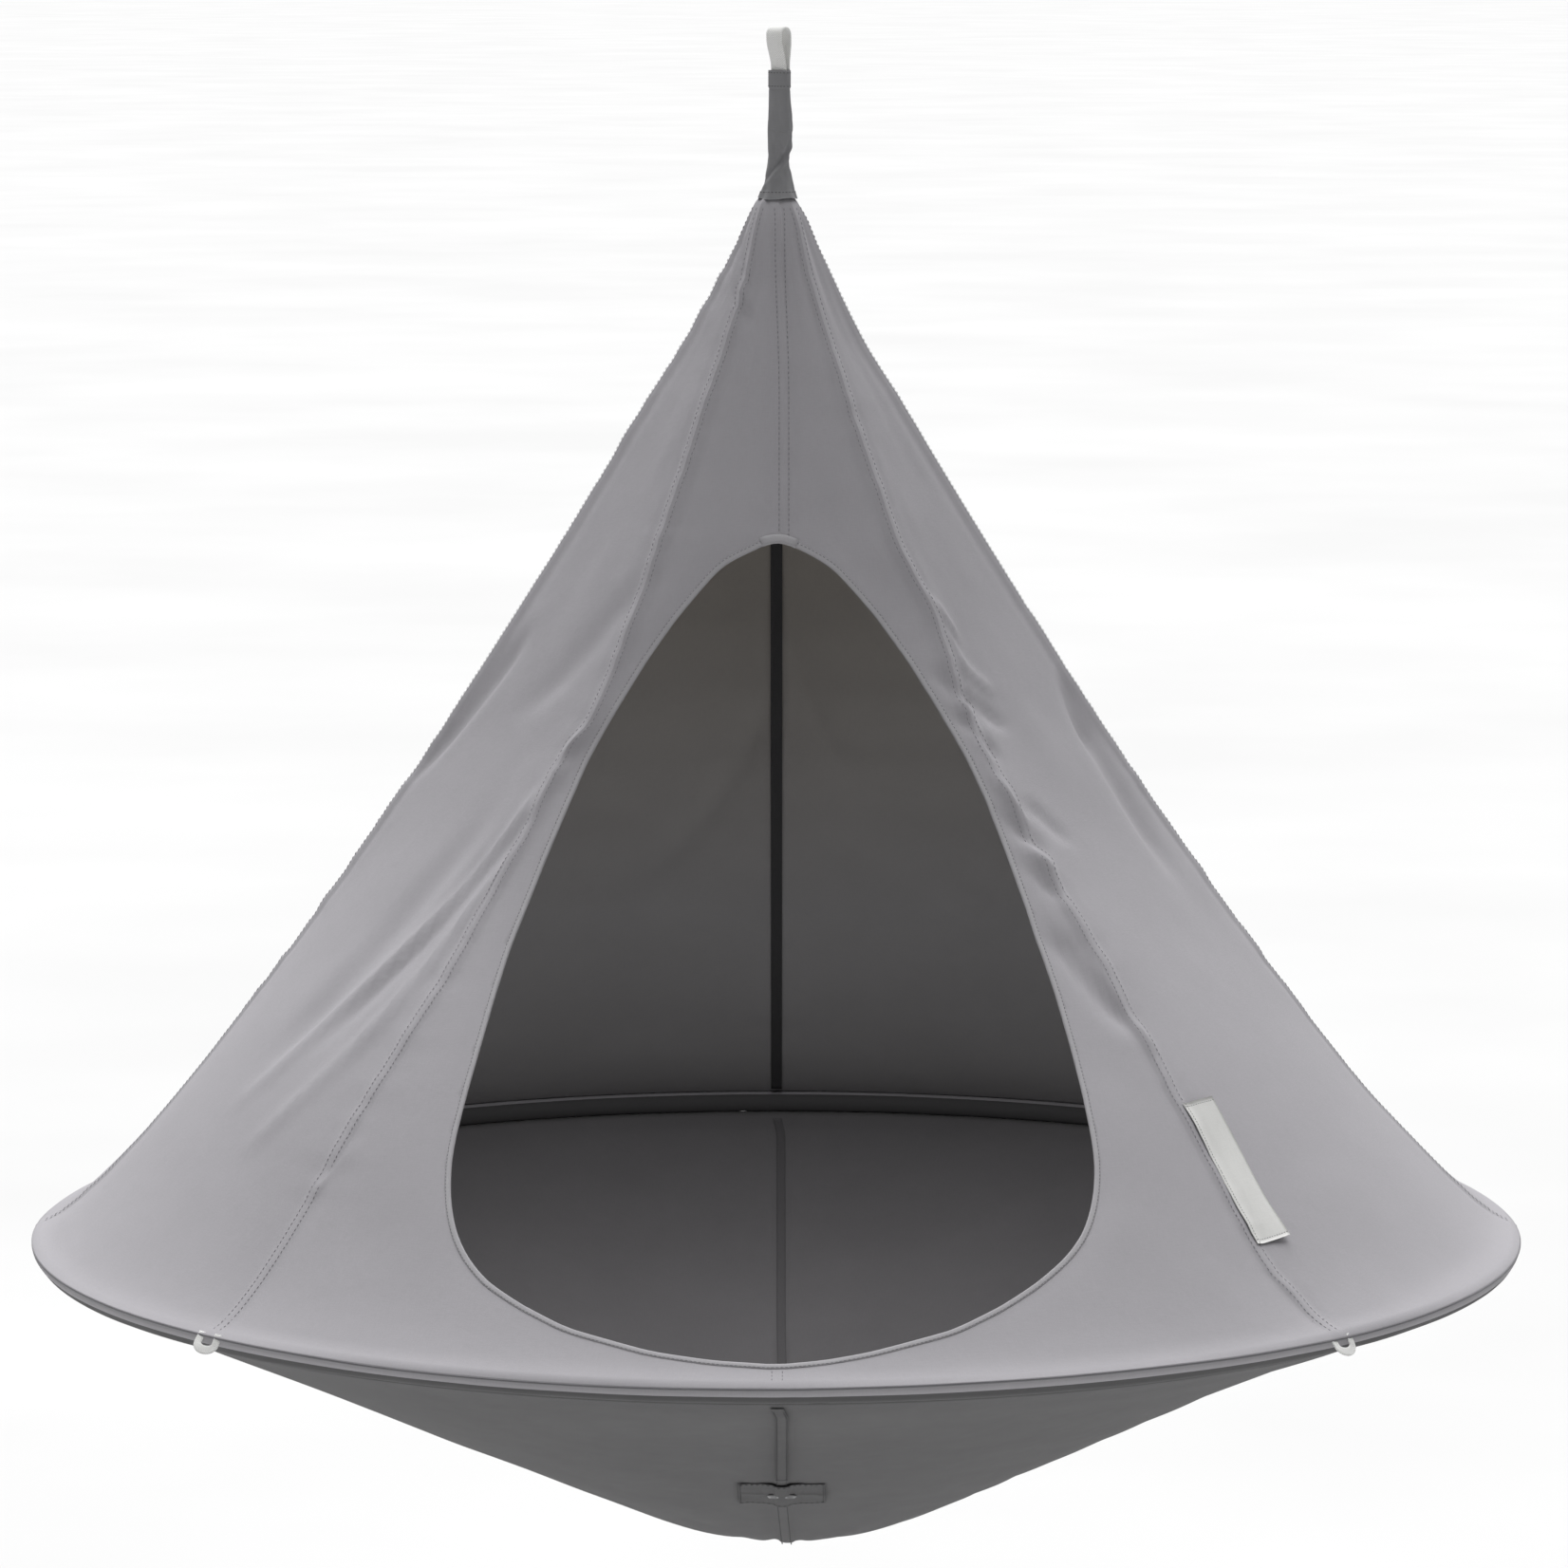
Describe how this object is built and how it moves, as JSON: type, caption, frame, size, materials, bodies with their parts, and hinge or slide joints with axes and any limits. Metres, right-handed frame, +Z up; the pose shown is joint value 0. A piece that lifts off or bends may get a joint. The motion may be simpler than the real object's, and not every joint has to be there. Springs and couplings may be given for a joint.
{
  "type": "hanging tent",
  "caption": "Cone-shaped cloth tent with an oval doorway, held open by a sectional ring, with a cloth bowl for a floor, that hangs from a webbing loop.",
  "frame": {"origin": "top of the inside of the hanging loop, where a carabiner bears", "axes": "+Z straight up; -Y out through the doorway; +X to the right of someone who faces the doorway from outside (looking along +Y)"},
  "size_m": [1.5004, 1.5004, 1.5325],
  "materials": {
    "canopy_cloth": "matt woven canvas, mid grey",
    "floor_cloth": "matt coated canvas, dark grey",
    "neck_cloth": "matt woven canvas, dark grey",
    "pale_webbing": "woven webbing, off-white",
    "dark_webbing": "woven webbing, near black",
    "binding_tape": "folded binding tape, light grey",
    "label_cloth": "smooth woven label, off-white, blank",
    "ring_aluminium": "drawn tube, satin",
    "plated_steel": "zinc plated"
  },
  "bodies": {
    "loop": {"hanging_loop": "pale_webbing"},
    "neck_upper": {"neck_hem": "neck_cloth", "neck_sleeve_upper": "neck_cloth", "lift_webbing_upper": "pale_webbing"},
    "neck_lower": {"neck_sleeve_lower": "neck_cloth", "lift_webbing_lower": "pale_webbing"},
    "crown": {"neck_skirt": "neck_cloth", "crown_gather": "dark_webbing", "canopy_panel_front_right": "canopy_cloth", "canopy_panel_right_front": "canopy_cloth", "canopy_panel_right_back": "canopy_cloth", "canopy_panel_back_right": "canopy_cloth", "canopy_panel_back_left": "canopy_cloth", "canopy_panel_left_back": "canopy_cloth", "canopy_panel_left_front": "canopy_cloth", "canopy_panel_front_left": "canopy_cloth", "seam_strap_front_right": "dark_webbing", "seam_strap_right": "dark_webbing", "seam_strap_back_right": "dark_webbing", "seam_strap_back": "dark_webbing", "seam_strap_back_left": "dark_webbing", "seam_strap_left": "dark_webbing", "seam_strap_front_left": "dark_webbing", "front_seam_tape": "canopy_cloth", "door_binding": "binding_tape", "door_binding_join": "binding_tape", "label": "label_cloth"},
    "ring": {"ring_tube_front_right": "ring_aluminium", "ring_tube_back_right": "ring_aluminium", "ring_tube_back_left": "ring_aluminium", "ring_tube_front_left": "ring_aluminium", "ring_spigot_front": "ring_aluminium", "ring_spigot_right": "ring_aluminium", "ring_spigot_back": "ring_aluminium", "ring_spigot_left": "ring_aluminium", "ring_sleeve_front": "canopy_cloth", "ring_sleeve_right": "canopy_cloth", "ring_sleeve_back": "canopy_cloth", "ring_sleeve_left": "canopy_cloth", "floor_panel_left": "floor_cloth", "floor_panel_right": "floor_cloth", "floor_seam_tape": "floor_cloth", "drain_patch": "floor_cloth", "ring_tab_left": "pale_webbing", "ring_tab_right": "pale_webbing"},
    "drain": {"drain_eyelet_left": "plated_steel", "drain_eyelet_right": "plated_steel"},
    "button_front": {"ring_button_front": "plated_steel"},
    "button_right": {"ring_button_right": "plated_steel"},
    "button_back": {"ring_button_back": "plated_steel"},
    "button_left": {"ring_button_left": "plated_steel"}
  },
  "joints": [
    {"name": "side_swing", "type": "hinge", "parent": "loop", "child": "neck_upper", "pos_m": [0, 0, -0.0405], "axis": [0, 1, 0], "range_deg": [-25, 25]},
    {"name": "front_swing", "type": "hinge", "parent": "neck_upper", "child": "neck_lower", "pos_m": [0, 0, -0.078], "axis": [1, 0, 0], "range_deg": [-25, 25]},
    {"name": "twist", "type": "hinge", "parent": "neck_lower", "child": "crown", "pos_m": [0, 0, -0.113], "axis": [0, 0, 1], "range_deg": [-90, 90]},
    {"name": "collapse", "type": "slide", "parent": "crown", "child": "ring", "axis": [0, 0, 1], "range_m": [0, 0.9], "deforming": ["canopy_panel_front_right", "canopy_panel_right_front", "canopy_panel_right_back", "canopy_panel_back_right", "canopy_panel_back_left", "canopy_panel_left_back", "canopy_panel_left_front", "canopy_panel_front_left", "seam_strap_front_right", "seam_strap_right", "seam_strap_back_right", "seam_strap_back", "seam_strap_back_left", "seam_strap_left", "seam_strap_front_left", "front_seam_tape", "door_binding", "door_binding_join", "label"]},
    {"name": "floor_flatten", "type": "slide", "parent": "ring", "child": "drain", "axis": [0, 0, 1], "range_m": [0, 0.15], "deforming": ["floor_panel_left", "floor_panel_right", "floor_seam_tape", "drain_patch"]},
    {"name": "press_front", "type": "slide", "parent": "ring", "child": "button_front", "axis": [0.0491, -0.9988, 0], "range_m": [0, 0.0035], "stiffness_N_per_m": 400, "springref_m": -0.002},
    {"name": "press_right", "type": "slide", "parent": "ring", "child": "button_right", "axis": [0.9988, 0.0491, 0], "range_m": [0, 0.0035], "stiffness_N_per_m": 400, "springref_m": -0.002},
    {"name": "press_back", "type": "slide", "parent": "ring", "child": "button_back", "axis": [-0.0491, 0.9988, 0], "range_m": [0, 0.0035], "stiffness_N_per_m": 400, "springref_m": -0.002},
    {"name": "press_left", "type": "slide", "parent": "ring", "child": "button_left", "axis": [-0.9988, -0.0491, 0], "range_m": [0, 0.0035], "stiffness_N_per_m": 400, "springref_m": -0.002}
  ]
}
